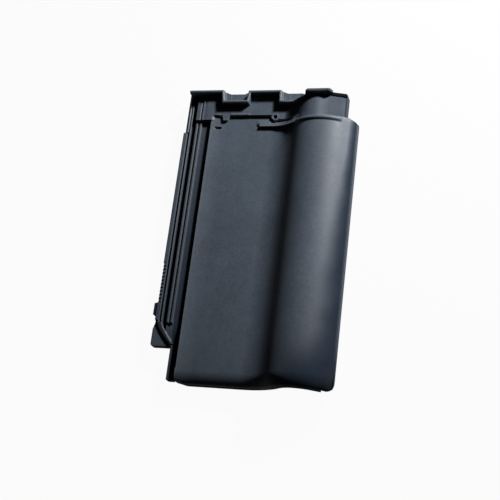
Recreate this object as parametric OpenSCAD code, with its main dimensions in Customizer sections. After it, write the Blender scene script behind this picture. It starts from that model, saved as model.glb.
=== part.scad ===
// Interlocking clay roof tile with a flat pan, a roll on its right and a water lock on its left.
// One fired piece. It lies face up, on the two hang nibs under its head and on its foot lip.
// The geometry is drawn in the tile's own frame: x across from the lock's outer edge, y up the
// slope from the foot edge, z up from the pan's face. The last step lays it on the floor.

/* [Overall] */
// Length from the foot edge to the head edge
tile_length = 450; // [430:1:470]
// Width from the lock's outer edge to the roll's free edge
tile_width = 270; // [266:1:280]
// Thickness of the fired clay under the pan and the roll
wall = 11.5; // [10.5:0.5:12.5]
// Depth of the foot lip and of the hang nibs below the pan's face
support_depth = 22; // [20:0.5:24]

/* [Pan] */
// Distance from the lock's outer edge to the pan's left edge
pan_edge = 43; // [42:0.5:45]
// Rise of the pan's left edge over its face
edge_rise = 3; // [2:0.25:4]
// Width over which the pan's left edge rises
edge_run = 27; // [22:1:32]

/* [Roll] */
// Height of the roll's crest over the pan's face
roll_height = 32; // [29:0.5:35]
// Distance from the roll's crest to its free edge
crest_inset = 56; // [54:1:59]
// Radius of the roll on the pan's side of its crest
crest_radius = 48; // [45:1:51]
// Slope of the flank between the pan and the crest, in degrees
flank_slope = 43; // [41:1:45]
// Radius of the hollow where the pan turns up into the roll
valley_radius = 58; // [54:1:62]
// Radius of the cover on the far side of the crest
cover_radius = 66; // [62:1:69]
// Slope of the cover at the foot of that radius, in degrees
cover_slope = 34; // [32:1:35]
// Width over which the cover turns down to its free edge
cover_edge_run = 8.4; // [7.5:0.1:9]
// Slope of the cover where it meets the free edge, in degrees
cover_edge_slope = 60; // [57:1:63]
// Width of the flat lip along the free edge
free_lip_width = 1.6; // [1.2:0.1:2.4]
// Height of that lip over the cover beside it
free_lip_rise = 0.6; // [0.4:0.1:1]

/* [Foot] */
// Radius of the rounded nose along the foot
nose_radius = 30; // [26:1:36]
// Drop of the nose from the face to the foot edge
nose_drop = 6; // [4:0.5:7]
// Height of the upright band of the foot's front
front_height = 8; // [6:0.5:10]
// Set-back of the foot's front between that band and the underside
front_slant = 1.75; // [1:0.25:3]
// Length of the drip lip under the foot
lip_length = 12; // [10:0.5:16]
// Length over which the drip lip runs out behind
lip_draft = 6; // [4:0.5:10]
// Corner radius of the foot's right corner
foot_corner = 10; // [6:1:14]
// Length of the slant at the foot's left corner
left_corner_run = 14; // [10:1:18]
// Set-back of the foot's left corner
left_corner_rise = 3; // [2:0.5:5]

/* [Side lock] */
// Underside of the lock below the pan's face
lock_under = 14; // [13:0.5:15]
// Width of the outer rib with its strip
outer_rib_width = 12; // [11:0.5:13]
// Top of the outer rib below the pan's face
outer_rib_top = 0.8; // [0.5:0.1:1.5]
// Width of the outer rib's narrow crest
outer_crest_width = 1.7; // [1.4:0.1:2.4]
// Width of the strip outside the crest
outer_strip_width = 7; // [6:0.5:7.5]
// Top of that strip below the pan's face
outer_strip_top = 1.8; // [1.2:0.2:2.6]
// Depth of the groove between strip and crest below the pan's face
strip_groove_floor = 3.6; // [3:0.2:4.4]
// Length beside the head on which the strip is slimmer
slim_strip_length = 63; // [58:1:68]
// Inset of the slimmer strip's outer side
slim_strip_inset = 1.8; // [1:0.2:2.6]
// Width of the deep channel
deep_channel_width = 6; // [5:0.5:6.5]
// Floor of the deep channel below the pan's face
deep_channel_floor = 7.5; // [6.5:0.5:8]
// Width of each of the two narrow ribs
narrow_rib_width = 4.2; // [3.6:0.2:4.6]
// Width of the groove between the narrow ribs
narrow_groove_width = 1.8; // [1.4:0.2:2.2]
// Floor of the narrow groove below the pan's face
narrow_groove_floor = 3.2; // [2.6:0.2:4]
// Top of the narrow ribs below the pan's face
narrow_rib_top = 0.4; // [0:0.2:1]
// Floor of the inner channel below the pan's face
inner_channel_floor = 3.5; // [3:0.5:4.5]
// Draft on each side of the ribs
rib_draft = 0.6; // [0.4:0.1:0.8]

/* [Lock outlet] */
// Foot end of the narrow ribs
narrow_rib_end = 85; // [80:1:95]
// Length of the sloping floor beside the ends of those ribs
outlet_floor_start = 9; // [7:1:11]
// Length of that floor beside the pan
outlet_floor_length = 25; // [22:1:28]
// Foot end of the outlet's plate
plate_end = 51; // [48:1:56]
// Top of the outlet's plate below the pan's face
plate_top = 8; // [7.5:0.5:9]
// Reach of the outlet's plate past the lock's outer edge
plate_reach = 2.6; // [1:0.2:3]
// Width of the ledge beside the foot of the pan
ledge_width = 14; // [12:0.5:15]
// Floor of the ledge's channel below the pan's face
ledge_floor = 7; // [6:0.5:7.5]
// Width of the ledge's outer lip
ledge_lip_width = 2.4; // [1.8:0.2:3]
// Top of the ledge's outer lip below the pan's face
ledge_lip_top = 3.5; // [2.5:0.5:4.5]

/* [Outer edge] */
// Reach of the tab on the lock's outer edge
tab_reach = 5; // [3.5:0.5:6]
// Distance of the tab's foot end from the foot edge
tab_start = 95; // [90:1:100]
// Length of the tab
tab_length = 21; // [16:1:24]
// Number of grip notches next to the tab
notch_count = 11; // [6:1:14]
// Pitch of the grip notches
notch_pitch = 5.5; // [4.5:0.25:6]
// Depth of the grip notches
notch_depth = 1.2; // [0.8:0.1:1.6]

/* [Head lock] */
// Length of the raised head plateau
plateau_length = 39; // [37:1:41]
// Height of the head plateau over the pan's face
plateau_rise = 4; // [3.5:0.5:4.5]
// Height of the meandering rim over the plateau
rim_rise = 10; // [8:0.5:12]
// Thickness of the meandering rim
rim_width = 4.5; // [4:0.5:5.5]
// Set-back of the rim around each hang nib's place
rim_setback = 16; // [14:1:18]
// Width of the rim's left set-back between its bends
left_setback_width = 37.5; // [34:0.5:40]
// Width of the rim's straight middle part
rim_middle_width = 47.5; // [44:0.5:51]
// Height of the rim over the flank where it climbs to the roll
rim_climb_rise = 4; // [3:0.5:5]
// Length of the raised block beside the narrow channels
lock_block_length = 46; // [44:1:50]
// Length of the small tip below the plateau's foot edge
tip_length = 8; // [6:1:10]
// Depth of the shallow notches in the head edge
head_notch = 3; // [2:0.5:4]

/* [Stop rib] */
// Distance of the stop rib from the head edge
stop_inset = 57.5; // [55:0.5:60]
// Height of the stop rib over the face
stop_rise = 4.6; // [3:0.2:5.4]
// Length over which the stop rib slopes back to the pan
stop_length = 13; // [11:1:15]
// Height of the round bead that carries on over the roll
bead_rise = 2.2; // [1.6:0.2:3]
// Reach of the stop rib from the foot of the roll's flank towards the lock
stop_reach = 60.5; // [56:0.5:65]

/* [Roll head] */
// Depth of the roll's head below the roll's face
roll_head_step = 1; // [0.5:0.25:2]
// Slope of the roll's head from the crest to its right edge, in degrees
roll_head_slope = 17; // [14:0.5:19]
// Inset of that right edge from the roll's free edge
roll_head_side = 16.5; // [15:0.5:18]
// Distance of the high rim's outer side from the head edge
high_rim_inset = 12.5; // [11:0.5:14]
// Height of the high rim over the roll's crest
high_rim_rise = 5; // [4:0.5:6]
// Length of the high rim on the pan's side of the crest
high_rim_left = 22.5; // [21:0.5:24]
// Length of the high rim on the far side of the crest
high_rim_right = 18.5; // [17:0.5:20]
// Distance of the low rim's outer side from the head edge
low_rim_inset = 15.5; // [15:0.5:17]
// Width of the low rim
low_rim_width = 4; // [3:0.5:4.5]
// Height of the low rim over the roll's head
low_rim_rise = 4; // [3:0.5:5]
// Width of the lip along the head's right edge
side_lip_width = 1.5; // [1.2:0.1:2]
// Height of that lip over the roll's head
side_lip_rise = 0.8; // [0.6:0.1:1.2]

/* [Nail hole] */
// Diameter of the nail hole
nail_diameter = 5.6; // [4.5:0.1:6.5]
// Diameter of the boss around the nail hole
nail_boss_diameter = 13; // [11:0.5:15]
// Distance from the nail hole to the right nib's middle
nail_gap = 22.3; // [20:0.1:25]
// Distance of the nail hole from the head edge
nail_inset = 41.6; // [40:0.2:44]
// Length of the short slot near the plateau's left corner
slot_length = 10; // [8:0.5:12]
// Width of that slot
slot_width = 3; // [2:0.25:4]
// Depth of that slot
slot_depth = 5; // [3:0.5:7]

/* [Hang nibs] */
// Distance from the pan's left edge to the left nib's middle
left_nib_gap = 32.5; // [30:0.5:35]
// Distance from the right nib's middle to the foot of the roll's flank
right_nib_gap = 12; // [10:0.5:15]
// Width of each hang nib
nib_width = 34; // [30:1:38]
// Thickness of each hang nib along the slope
nib_length = 15; // [12:1:16]

/* [Cover ribs] */
// Distance from the free edge to the inner cover rib's middle
inner_rib_inset = 26; // [24:0.5:27]
// Width of the inner cover rib at its foot
inner_rib_width = 3; // [2.5:0.25:4]
// Depth of the inner cover rib below the pan's face
inner_rib_depth = 4; // [3:0.5:5]
// Width of the rim under the free edge
free_rim_width = 10; // [8:0.5:11]
// Depth of the rim under the free edge below the pan's face
free_rim_depth = 1.5; // [1:0.25:2.5]

/* [Hidden] */
$fn = 96;
overlap = 1;
face_step = 3;
reach = 60;

// stretches of the face across the tile: raised edge, flat pan, valley, flank, crest, cover
edge_radius = (edge_run ^ 2 + edge_rise ^ 2) / (2 * edge_rise);
edge_flat_x = pan_edge + edge_run;
crest_x = tile_width - crest_inset;
crest_z = roll_height - crest_radius;
flank_top_x = crest_x - crest_radius * sin(flank_slope);
flank_top_z = crest_z + crest_radius * cos(flank_slope);
flank_foot_z = valley_radius * (1 - cos(flank_slope));
flank_foot_x = flank_top_x - (flank_top_z - flank_foot_z) / tan(flank_slope);
valley_x = flank_foot_x - valley_radius * sin(flank_slope);
cover_z = roll_height - cover_radius;
cover_top_x = crest_x + cover_radius * sin(cover_slope);
cover_top_z = cover_z + cover_radius * cos(cover_slope);
cover_end_x = tile_width - free_lip_width;
cover_bend_x = cover_end_x - cover_edge_run;
cover_bend_z = cover_top_z - (cover_bend_x - cover_top_x) * tan(cover_slope);
cover_edge_radius = cover_edge_run / (sin(cover_edge_slope) - sin(cover_slope));

// rounded nose and drip lip
nose_run = sqrt(nose_radius ^ 2 - (nose_radius - nose_drop) ^ 2);
nose_steps = 10;

// lines across the head
plateau_y = tile_length - plateau_length;
stop_y = tile_length - stop_inset;
high_rim_y = tile_length - high_rim_inset;
low_rim_y = tile_length - low_rim_inset;
lock_block_y = tile_length - lock_block_length;
setback_y = tile_length - head_notch - rim_setback;

// places across the head
left_nib_x = pan_edge + left_nib_gap;
right_nib_x = flank_foot_x - right_nib_gap;
nail_x = right_nib_x - nail_gap;
nail_y = tile_length - nail_inset;
high_rim_x = crest_x - high_rim_left;
low_rim_x = crest_x + high_rim_right;
head_side_x = tile_width - roll_head_side;

// resting place of the nibs
nib_y = tile_length - head_notch - nib_length;

// Height of the face at x
function face_z(x) =
  x < edge_flat_x ? edge_radius - sqrt(edge_radius ^ 2 - (edge_flat_x - x) ^ 2) :
  x < valley_x ? 0 :
  x < flank_foot_x ? valley_radius - sqrt(valley_radius ^ 2 - (x - valley_x) ^ 2) :
  x < flank_top_x ? flank_foot_z + (x - flank_foot_x) * tan(flank_slope) :
  x < crest_x ? crest_z + sqrt(crest_radius ^ 2 - (crest_x - x) ^ 2) :
  x < cover_top_x ? cover_z + sqrt(cover_radius ^ 2 - (x - crest_x) ^ 2) :
  x < cover_bend_x ? cover_top_z - (x - cover_top_x) * tan(cover_slope) :
  cover_bend_z - cover_edge_radius * (cos(cover_slope) - cos(face_slope(x)));

// Slope of the face at x, in degrees
function face_slope(x) =
  x < edge_flat_x ? -asin((edge_flat_x - x) / edge_radius) :
  x < valley_x ? 0 :
  x < flank_foot_x ? asin((x - valley_x) / valley_radius) :
  x < flank_top_x ? flank_slope :
  x < crest_x ? asin((crest_x - x) / crest_radius) :
  x < cover_top_x ? -asin((x - crest_x) / cover_radius) :
  x < cover_bend_x ? -cover_slope :
  -asin(sin(cover_slope) + (x - cover_bend_x) / cover_edge_radius);

// The point a depth d below the face, square to it, at x and y
function under_face(x, y, d) =
  [x + d * sin(face_slope(x)), y, face_z(x) - d * cos(face_slope(x))];

// Height of the roll's head right of the crest at x
function head_z(x) = roll_height - roll_head_step - (x - crest_x) * tan(roll_head_slope);

// Depth of the rounded nose below the face at y
function nose_depth(y) =
  y < nose_run ? nose_radius - sqrt(nose_radius ^ 2 - (nose_run - y) ^ 2) : 0;

// A solid that follows the face from x0 to x1; each station is [y, upper depth, lower depth]
module follow_face(x0, x1, stations) {
  n = ceil((x1 - x0) / face_step);
  m = len(stations);
  xs = [for (i = [0 : n]) x0 + (x1 - x0) * i / n];
  points = [
    for (x = xs) for (s = stations) under_face(x, s[0], s[1]),
    for (x = xs) for (s = stations) under_face(x, s[0], s[2])
  ];
  half = (n + 1) * m;
  polyhedron(
    points,
    [
      for (i = [0 : n - 1]) for (k = [0 : m - 2])
        [i * m + k, i * m + k + 1, (i + 1) * m + k + 1, (i + 1) * m + k],
      for (i = [0 : n - 1]) for (k = [0 : m - 2])
        [half + i * m + k, half + (i + 1) * m + k,
         half + (i + 1) * m + k + 1, half + i * m + k + 1],
      for (i = [0 : n - 1])
        [i * m, (i + 1) * m, half + (i + 1) * m, half + i * m],
      for (i = [0 : n - 1])
        [i * m + m - 1, half + i * m + m - 1,
         half + (i + 1) * m + m - 1, (i + 1) * m + m - 1],
      for (k = [0 : m - 2])
        [k, half + k, half + k + 1, k + 1],
      for (k = [0 : m - 2])
        [n * m + k, n * m + k + 1, half + n * m + k + 1, half + n * m + k]
    ]
  );
}

// A profile in x and z that runs along the tile from y0 to y1
module run_along(y0, y1) {
  translate([0, y1, 0])
    rotate([90, 0, 0])
      linear_extrude(y1 - y0)
        children();
}

// A plan in x and y that stands from z0 to z1
module stand(z0, z1) {
  translate([0, 0, z0])
    linear_extrude(z1 - z0)
      children();
}

// Pan and roll as one shell that follows the face, with the nose at its foot
module shell() {
  follow_face(pan_edge, cover_end_x, [
    for (k = [0 : nose_steps - 1])
      let (y = nose_run * k / nose_steps)
        [y, nose_depth(y), wall],
    [nose_run, 0, wall],
    [tile_length, 0, wall]
  ]);
}

// Drip lip under the foot, from the pan's left edge to where the cover turns down
module foot_lip() {
  follow_face(pan_edge, cover_bend_x, [
    [0, wall - overlap, nose_drop + front_height],
    [front_slant, wall - overlap, support_depth],
    [lip_length, wall - overlap, support_depth],
    [lip_length + lip_draft, wall - overlap, wall - overlap / 2]
  ]);
}

// Everything of the shell that lies outside the tile's outline
module outline_cuts() {
  // rounded right corner of the foot
  stand(-reach, reach)
    difference() {
      translate([tile_width - foot_corner, -overlap])
        square([foot_corner + overlap, foot_corner + overlap]);
      translate([tile_width - foot_corner, foot_corner])
        circle(foot_corner);
    }
  // slanted left corner of the foot
  stand(-reach, reach)
    polygon([
      [pan_edge - overlap, -overlap],
      [pan_edge - overlap, left_corner_rise],
      [pan_edge, left_corner_rise],
      [pan_edge + left_corner_run, 0],
      [pan_edge + left_corner_run, -overlap]
    ]);
  // shoulder at the right of the head, ends of the low and high rims, slant beside them
  stand(-reach, reach)
    polygon([
      [tile_width + overlap, stop_y],
      [tile_width - overlap, stop_y + 1],
      [tile_width - 4, stop_y + 3.5],
      [tile_width - 12, stop_y + 6.5],
      [head_side_x, stop_y + 7.5],
      [head_side_x, low_rim_y],
      [low_rim_x, low_rim_y],
      [low_rim_x, high_rim_y],
      [high_rim_x + rim_width / 2, high_rim_y],
      [high_rim_x + rim_width / 2, tile_length + overlap],
      [tile_width + overlap, tile_length + overlap]
    ]);
  // flank behind the rim, where only the plateau goes on
  stand(plateau_rise - overlap, reach)
    polygon([
      [flank_foot_x - 22, setback_y - rim_width / 2],
      [high_rim_x - 1, setback_y - rim_width / 2],
      [high_rim_x + rim_width / 2, setback_y],
      [high_rim_x + rim_width / 2, tile_length + overlap],
      [flank_foot_x - 22, tile_length + overlap]
    ]);
  // step down from the roll to its head
  follow_face(flank_foot_x, cover_end_x + overlap, [
    [stop_y + 2, -9, roll_head_step],
    [tile_length, -9, roll_head_step]
  ]);
  // plane slope of the head right of the crest
  run_along(stop_y + 6, high_rim_y + overlap)
    polygon([
      [crest_x - 6, head_z(crest_x - 6)],
      [tile_width, head_z(tile_width)],
      [tile_width, reach],
      [crest_x - 6, reach]
    ]);
}

// Section of the side lock: strip, outer rib, deep channel, two narrow ribs, inner channel
module lock_profile() {
  x1 = outer_rib_width;
  x2 = x1 + deep_channel_width;
  x3 = x2 + narrow_rib_width;
  x4 = x3 + narrow_groove_width;
  x5 = x4 + narrow_rib_width;
  polygon([
    [0, -lock_under],
    [0, -outer_strip_top - 1],
    [1, -outer_strip_top],
    [outer_strip_width - 1, -outer_strip_top],
    [outer_strip_width, -strip_groove_floor],
    [x1 - outer_crest_width - 2 * rib_draft, -strip_groove_floor],
    [x1 - outer_crest_width - rib_draft, -outer_rib_top],
    [x1 - rib_draft, -outer_rib_top],
    [x1, -deep_channel_floor],
    [x2, -deep_channel_floor],
    [x2 + rib_draft, -narrow_rib_top],
    [x3 - rib_draft, -narrow_rib_top],
    [x3, -narrow_groove_floor],
    [x4, -narrow_groove_floor],
    [x4 + rib_draft, -narrow_rib_top],
    [x5 - rib_draft, -narrow_rib_top],
    [x5, -inner_channel_floor],
    [pan_edge + overlap, -inner_channel_floor],
    [pan_edge + overlap, -lock_under + 2],
    [pan_edge - 3, -lock_under]
  ]);
}

// Side lock with its curved outlet at the foot end
module side_lock() {
  ledge_x = pan_edge - ledge_width;
  difference() {
    run_along(narrow_rib_end, tile_length)
      lock_profile();
    // slimmer strip beside the head
    run_along(tile_length - slim_strip_length, tile_length + overlap)
      polygon([
        [-overlap, -lock_under - overlap],
        [slim_strip_inset, -lock_under - overlap],
        [slim_strip_inset, -strip_groove_floor - 1],
        [outer_strip_width - 1, -outer_strip_top + 0.4],
        [outer_strip_width - 1, overlap],
        [-overlap, overlap]
      ]);
  }
  // plate of the outlet with a rounded outer corner
  stand(-lock_under, -plate_top)
    polygon([
      [0, narrow_rib_end + overlap],
      [-plate_reach, narrow_rib_end - 8],
      [-plate_reach, plate_end + 6],
      for (a = [180 : 15 : 270])
        [5 * cos(a) + 5 - plate_reach, 5 * sin(a) + plate_end + 5],
      [pan_edge - overlap, plate_end],
      [pan_edge - overlap, narrow_rib_end + overlap]
    ]);
  // sloping floor between the ends of the narrow ribs and the turned rib
  stand(-lock_under, -narrow_groove_floor - 0.8)
    polygon([
      [outer_rib_width + deep_channel_width, narrow_rib_end + overlap],
      [outer_rib_width + deep_channel_width, narrow_rib_end - outlet_floor_start],
      [ledge_x + 2, narrow_rib_end - outlet_floor_length],
      [pan_edge + overlap, narrow_rib_end - outlet_floor_length],
      [pan_edge + overlap, narrow_rib_end + overlap]
    ]);
  // outer rib turning in towards the pan
  stand(-plate_top - overlap, -outer_strip_top)
    polygon([
      [3.5, narrow_rib_end + overlap],
      for (t = [0 : 0.2 : 1])
        [3.8 + 24 * t ^ 1.4, narrow_rib_end - 31 * t],
      for (t = [1 : -0.2 : 0])
        [11.7 + 20 * t ^ 1.2, narrow_rib_end - 29 * t],
      [outer_rib_width, narrow_rib_end + overlap]
    ]);
  // ledge beside the foot of the pan
  translate([ledge_x, left_corner_rise, -lock_under])
    cube([ledge_width + overlap, plate_end + 10 - left_corner_rise, lock_under - ledge_floor]);
  translate([ledge_x, left_corner_rise, -lock_under])
    cube([ledge_lip_width, plate_end + 3 - left_corner_rise, lock_under - ledge_lip_top]);
  translate([ledge_x, left_corner_rise, -lock_under])
    cube([ledge_width + overlap, ledge_lip_width, lock_under - ledge_lip_top]);
}

// Tab on the lock's outer edge
module edge_tab() {
  translate([0, tab_start, 0])
    stand(-lock_under + 2, -strip_groove_floor)
      polygon([
        [overlap, 0],
        [0, 0],
        [-tab_reach, 3],
        [-tab_reach, tab_length - 1],
        [overlap, tab_length]
      ]);
}

// Grip notches up the lock's outer edge
module grip_notches() {
  for (i = [0 : notch_count - 1])
    translate([0, tab_start + tab_length + notch_pitch * (i + 0.5), 0])
      stand(-lock_under - overlap, overlap)
        polygon([
          [-overlap, -notch_pitch / 2 + 0.5],
          [notch_depth, -notch_pitch / 4],
          [notch_depth, notch_pitch / 4],
          [-overlap, notch_pitch / 2 - 0.5]
        ]);
}

// Bends of the rim's middle line in plan, from the lock to the high rim
function rim_path() =
  let (
    y0 = tile_length - head_notch - rim_width / 2 + 1.5,
    y1 = y0 - rim_setback,
    x1 = left_nib_x - left_setback_width / 2 + 5.25,
    x2 = x1 + left_setback_width,
    x3 = x2 + 2,
    x4 = x3 + rim_middle_width
  ) [
    [6, y0 + 1.5], [x1 - 3, y0 + 1.5], [x1, y1], [x2, y1], [x3, y0],
    [x4, y0], [x4 + 1.5, y1 - 0.8], [high_rim_x - 2, y1 - 1.6],
    [high_rim_x + rim_width / 2, y1 + 2], [high_rim_x + rim_width / 2, high_rim_y]
  ];

// Direction of a path between its corners i and i + 1
function heading(path, i) =
  let (d = path[i + 1] - path[i]) atan2(d[1], d[0]);

// The point a distance d beside a path at its corner i
function beside(path, i, d) =
  let (
    last = len(path) - 2,
    a = heading(path, max(i - 1, 0)),
    b = heading(path, min(i, last))
  ) path[i] + d / cos((b - a) / 2) * [-sin((a + b) / 2), cos((a + b) / 2)];

// Outline of the meandering rim in plan
module rim_plan() {
  path = rim_path();
  n = len(path) - 1;
  polygon([
    for (i = [0 : n]) beside(path, i, rim_width / 2),
    for (i = [n : -1 : 0]) beside(path, i, -rim_width / 2)
  ]);
}

// Raised head plateau with the lock's block, the tip, the nail boss and the rim
module head_lock() {
  block_x = outer_rib_width + deep_channel_width;
  // plateau, which goes on behind the rim as far as the high rim
  stand(-wall, plateau_rise)
    polygon([
      [pan_edge, plateau_y],
      [flank_foot_x + 6, plateau_y],
      [flank_foot_x + 6, setback_y - rim_width],
      [high_rim_x + 1, setback_y - rim_width],
      [high_rim_x + 1, high_rim_y],
      [flank_foot_x + 5, tile_length - head_notch - 1],
      [flank_foot_x + 3, tile_length],
      [pan_edge, tile_length]
    ]);
  translate([nail_x + 6, plateau_y - 7, -wall])
    cube([flank_foot_x - nail_x - 8, 8, plateau_rise + wall]);
  // block with two shallow grooves over the ends of the narrow ribs
  run_along(lock_block_y, tile_length)
    polygon([
      [block_x, -lock_under + overlap],
      [block_x + rib_draft, plateau_rise - 1],
      [block_x + 7, plateau_rise - 1],
      [block_x + 7.5, plateau_rise - 2.2],
      [block_x + 9, plateau_rise - 2.2],
      [block_x + 9.8, plateau_rise],
      [block_x + 12, plateau_rise],
      [block_x + 12.8, plateau_rise - 1],
      [block_x + 13.8, plateau_rise - 1],
      [block_x + 14.8, plateau_rise],
      [pan_edge + 4, plateau_rise],
      [pan_edge + 4, -wall],
      [pan_edge - 3, -lock_under + overlap]
    ]);
  // small tip below the plateau
  stand(-wall / 2, plateau_rise)
    polygon([
      [pan_edge + 17, plateau_y + overlap],
      [pan_edge + 19, plateau_y - tip_length],
      [pan_edge + 26, plateau_y - tip_length],
      [pan_edge + 30, plateau_y + overlap]
    ]);
  // boss around the nail hole
  translate([nail_x, nail_y, -wall / 2])
    cylinder(d = nail_boss_diameter, h = plateau_rise + wall / 2);
  // rim, level over the plateau and at a steady height over the flank
  intersection() {
    stand(-wall / 2, reach)
      rim_plan();
    union() {
      translate([0, setback_y - 3 * rim_width, -wall])
        cube([crest_x, rim_setback + 4 * rim_width, plateau_rise + rim_rise + wall]);
      follow_face(valley_x, crest_x - 1, [
        [setback_y - 3 * rim_width, -rim_climb_rise, wall + rim_rise],
        [high_rim_y + rim_width, -rim_climb_rise, wall + rim_rise]
      ]);
    }
  }
  // head end of the lock behind the rim
  translate([slim_strip_inset, tile_length - head_notch - rim_width, -lock_under])
    cube([pan_edge, head_notch + rim_width, lock_under]);
}

// Stop rib across the pan and round bead over the roll
module stop_rib() {
  follow_face(flank_foot_x - stop_reach, flank_foot_x + 4, [
    [stop_y, -stop_rise, overlap],
    [stop_y + stop_length, 0.2, overlap]
  ]);
  bead_foot = roll_head_step + overlap / 2;
  follow_face(flank_foot_x, head_side_x - 5.5, [
    for (a = [0 : 30 : 180])
      [stop_y + 2 - 4 * cos(a), bead_foot - (bead_rise + bead_foot) * sin(a), 4]
  ]);
}

// High and low rim along the head of the roll, and the lip along its right edge
module roll_rims() {
  high_foot = head_z(low_rim_x) - 3;
  translate([high_rim_x, high_rim_y - rim_width, high_foot])
    cube([high_rim_left + high_rim_right, rim_width, roll_height + high_rim_rise - high_foot]);
  run_along(low_rim_y - low_rim_width, low_rim_y)
    polygon([
      [low_rim_x - overlap, head_z(low_rim_x - overlap) - 3],
      [head_side_x, head_z(head_side_x) - 3],
      [head_side_x, head_z(head_side_x) + low_rim_rise - 1],
      [head_side_x - 1, head_z(head_side_x - 1) + low_rim_rise],
      [low_rim_x - overlap, head_z(low_rim_x - overlap) + low_rim_rise]
    ]);
  run_along(stop_y + 7.5, low_rim_y - overlap)
    polygon([
      [head_side_x - side_lip_width, head_z(head_side_x) - 3],
      [head_side_x, head_z(head_side_x) - 3],
      [head_side_x, head_z(head_side_x) + side_lip_rise],
      [head_side_x - side_lip_width, head_z(head_side_x) + side_lip_rise]
    ]);
}

// Ribs under the roll's free edge that lie in the next tile's lock
module cover_ribs() {
  rib_x = tile_width - inner_rib_inset;
  free_z = face_z(cover_end_x) + free_lip_rise;
  run_along(lip_length, stop_y - 5)
    polygon([
      [rib_x - inner_rib_width / 2 - 1, face_z(rib_x) - wall + 2],
      [rib_x - inner_rib_width / 2, -inner_rib_depth],
      [rib_x + inner_rib_width / 2, -inner_rib_depth],
      [rib_x + inner_rib_width / 2 + 1, face_z(rib_x) - wall + 2]
    ]);
  run_along(foot_corner, stop_y)
    polygon([
      [tile_width - free_rim_width - 2, face_z(cover_end_x)],
      [tile_width - free_rim_width, -free_rim_depth],
      [tile_width - 1, -free_rim_depth],
      [tile_width, -free_rim_depth + 1],
      [tile_width, free_z - 0.5],
      [tile_width - 0.5, free_z],
      [cover_end_x, free_z],
      [cover_end_x - 1.5, free_z - 3]
    ]);
}

// Two hang nibs under the head
module nibs() {
  for (x = [left_nib_x, right_nib_x])
    translate([x - nib_width / 2, nib_y, -support_depth])
      cube([nib_width, nib_length, support_depth - overlap]);
}

// Nail hole through the boss, and the short slot
module holes() {
  translate([nail_x, nail_y, -reach])
    cylinder(d = nail_diameter, h = 2 * reach);
  translate([pan_edge + 12, stop_y, -slot_depth])
    linear_extrude(reach) {
      square([slot_length - slot_width, slot_width], center = true);
      for (side = [-1, 1])
        translate([side * (slot_length - slot_width) / 2, 0])
          circle(d = slot_width);
    }
}

// Shallow notches in the head edge over the rim's set-backs
module head_notches() {
  for (x = [left_nib_x + 5, right_nib_x + 4])
    translate([x, tile_length, 0])
      stand(-reach, reach)
        polygon([
          [-20, overlap],
          [-11, -head_notch],
          [11, -head_notch],
          [18, overlap]
        ]);
}

module roof_tile() {
  color([0.16, 0.17, 0.19])
    translate([(tab_reach - tile_width) / 2, -tile_length / 2, support_depth])
      difference() {
        union() {
          difference() {
            union() {
              shell();
              foot_lip();
            }
            outline_cuts();
          }
          side_lock();
          edge_tab();
          head_lock();
          stop_rib();
          roll_rims();
          cover_ribs();
          nibs();
        }
        holes();
        head_notches();
        grip_notches();
      }
}

roof_tile();
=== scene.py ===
"""Looks of the interlocking clay roof tile: its moulded surface, its engobe, and the studio."""

import bmesh
import bpy
import numpy as np
from mathutils import Euler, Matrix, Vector


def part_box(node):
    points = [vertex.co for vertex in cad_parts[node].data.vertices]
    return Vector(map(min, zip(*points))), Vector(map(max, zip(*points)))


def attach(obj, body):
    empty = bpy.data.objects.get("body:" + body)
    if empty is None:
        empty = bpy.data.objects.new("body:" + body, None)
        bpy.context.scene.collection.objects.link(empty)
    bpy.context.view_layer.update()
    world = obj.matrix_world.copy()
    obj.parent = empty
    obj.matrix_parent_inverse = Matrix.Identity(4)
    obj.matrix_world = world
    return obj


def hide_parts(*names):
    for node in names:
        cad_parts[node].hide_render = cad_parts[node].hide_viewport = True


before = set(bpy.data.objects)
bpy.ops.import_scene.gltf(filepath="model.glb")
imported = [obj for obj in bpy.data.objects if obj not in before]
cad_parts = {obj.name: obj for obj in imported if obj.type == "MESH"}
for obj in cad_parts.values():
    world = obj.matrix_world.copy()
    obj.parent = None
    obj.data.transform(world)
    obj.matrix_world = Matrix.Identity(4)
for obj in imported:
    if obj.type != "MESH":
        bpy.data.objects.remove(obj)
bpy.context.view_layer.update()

# ---------------------------------------------------------------------------------------------
# Roof tile
# One piece of clay, pressed between two plaster moulds, dried, dipped in a slate-grey engobe and
# fired. The moulds leave every edge a little round, so the ribs, the rims and the lips catch a
# thin line of light.
# ---------------------------------------------------------------------------------------------

# Sizes are millimetres in the tile's own frame: x across from the lock's outer edge, y up the
# slope from the foot edge, z up from the pan's face. SUPPORT is the face's height over the floor.
low, high = (np.array(corner) * 1000 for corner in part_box("roof_tile"))
TAB = 5.0
SUPPORT = 22.0
WALL = 11.5
LENGTH = high[1] - low[1]
WIDTH = high[0] - low[0] - TAB
ORIGIN = (low[0] + TAB, low[1], SUPPORT)

# Section of the face: raised left edge, flat pan, valley, flank, crest, cover and the free edge
# that turns down to a small lip.
PAN_EDGE = 43.0
EDGE_RISE = 3.0
EDGE_RUN = 27.0
VALLEY_R = 58.0
FLANK = np.radians(43)
CREST_X = WIDTH - 56
CREST_Z = 32.0
CREST_R = 48.0
COVER_R = 66.0
COVER = np.radians(34)
TURN_RUN = 8.4
TURN_END = np.radians(60)
LIP_WIDTH = 1.6
LIP_RISE = 0.6

flank_top = CREST_X - CREST_R * np.sin(FLANK)
flank_top_z = CREST_Z - CREST_R * (1 - np.cos(FLANK))
flank_foot = flank_top - (flank_top_z - VALLEY_R * (1 - np.cos(FLANK))) / np.tan(FLANK)
valley = flank_foot - VALLEY_R * np.sin(FLANK)
cover_end = WIDTH - LIP_WIDTH
cover_bend = cover_end - TURN_RUN


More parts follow.
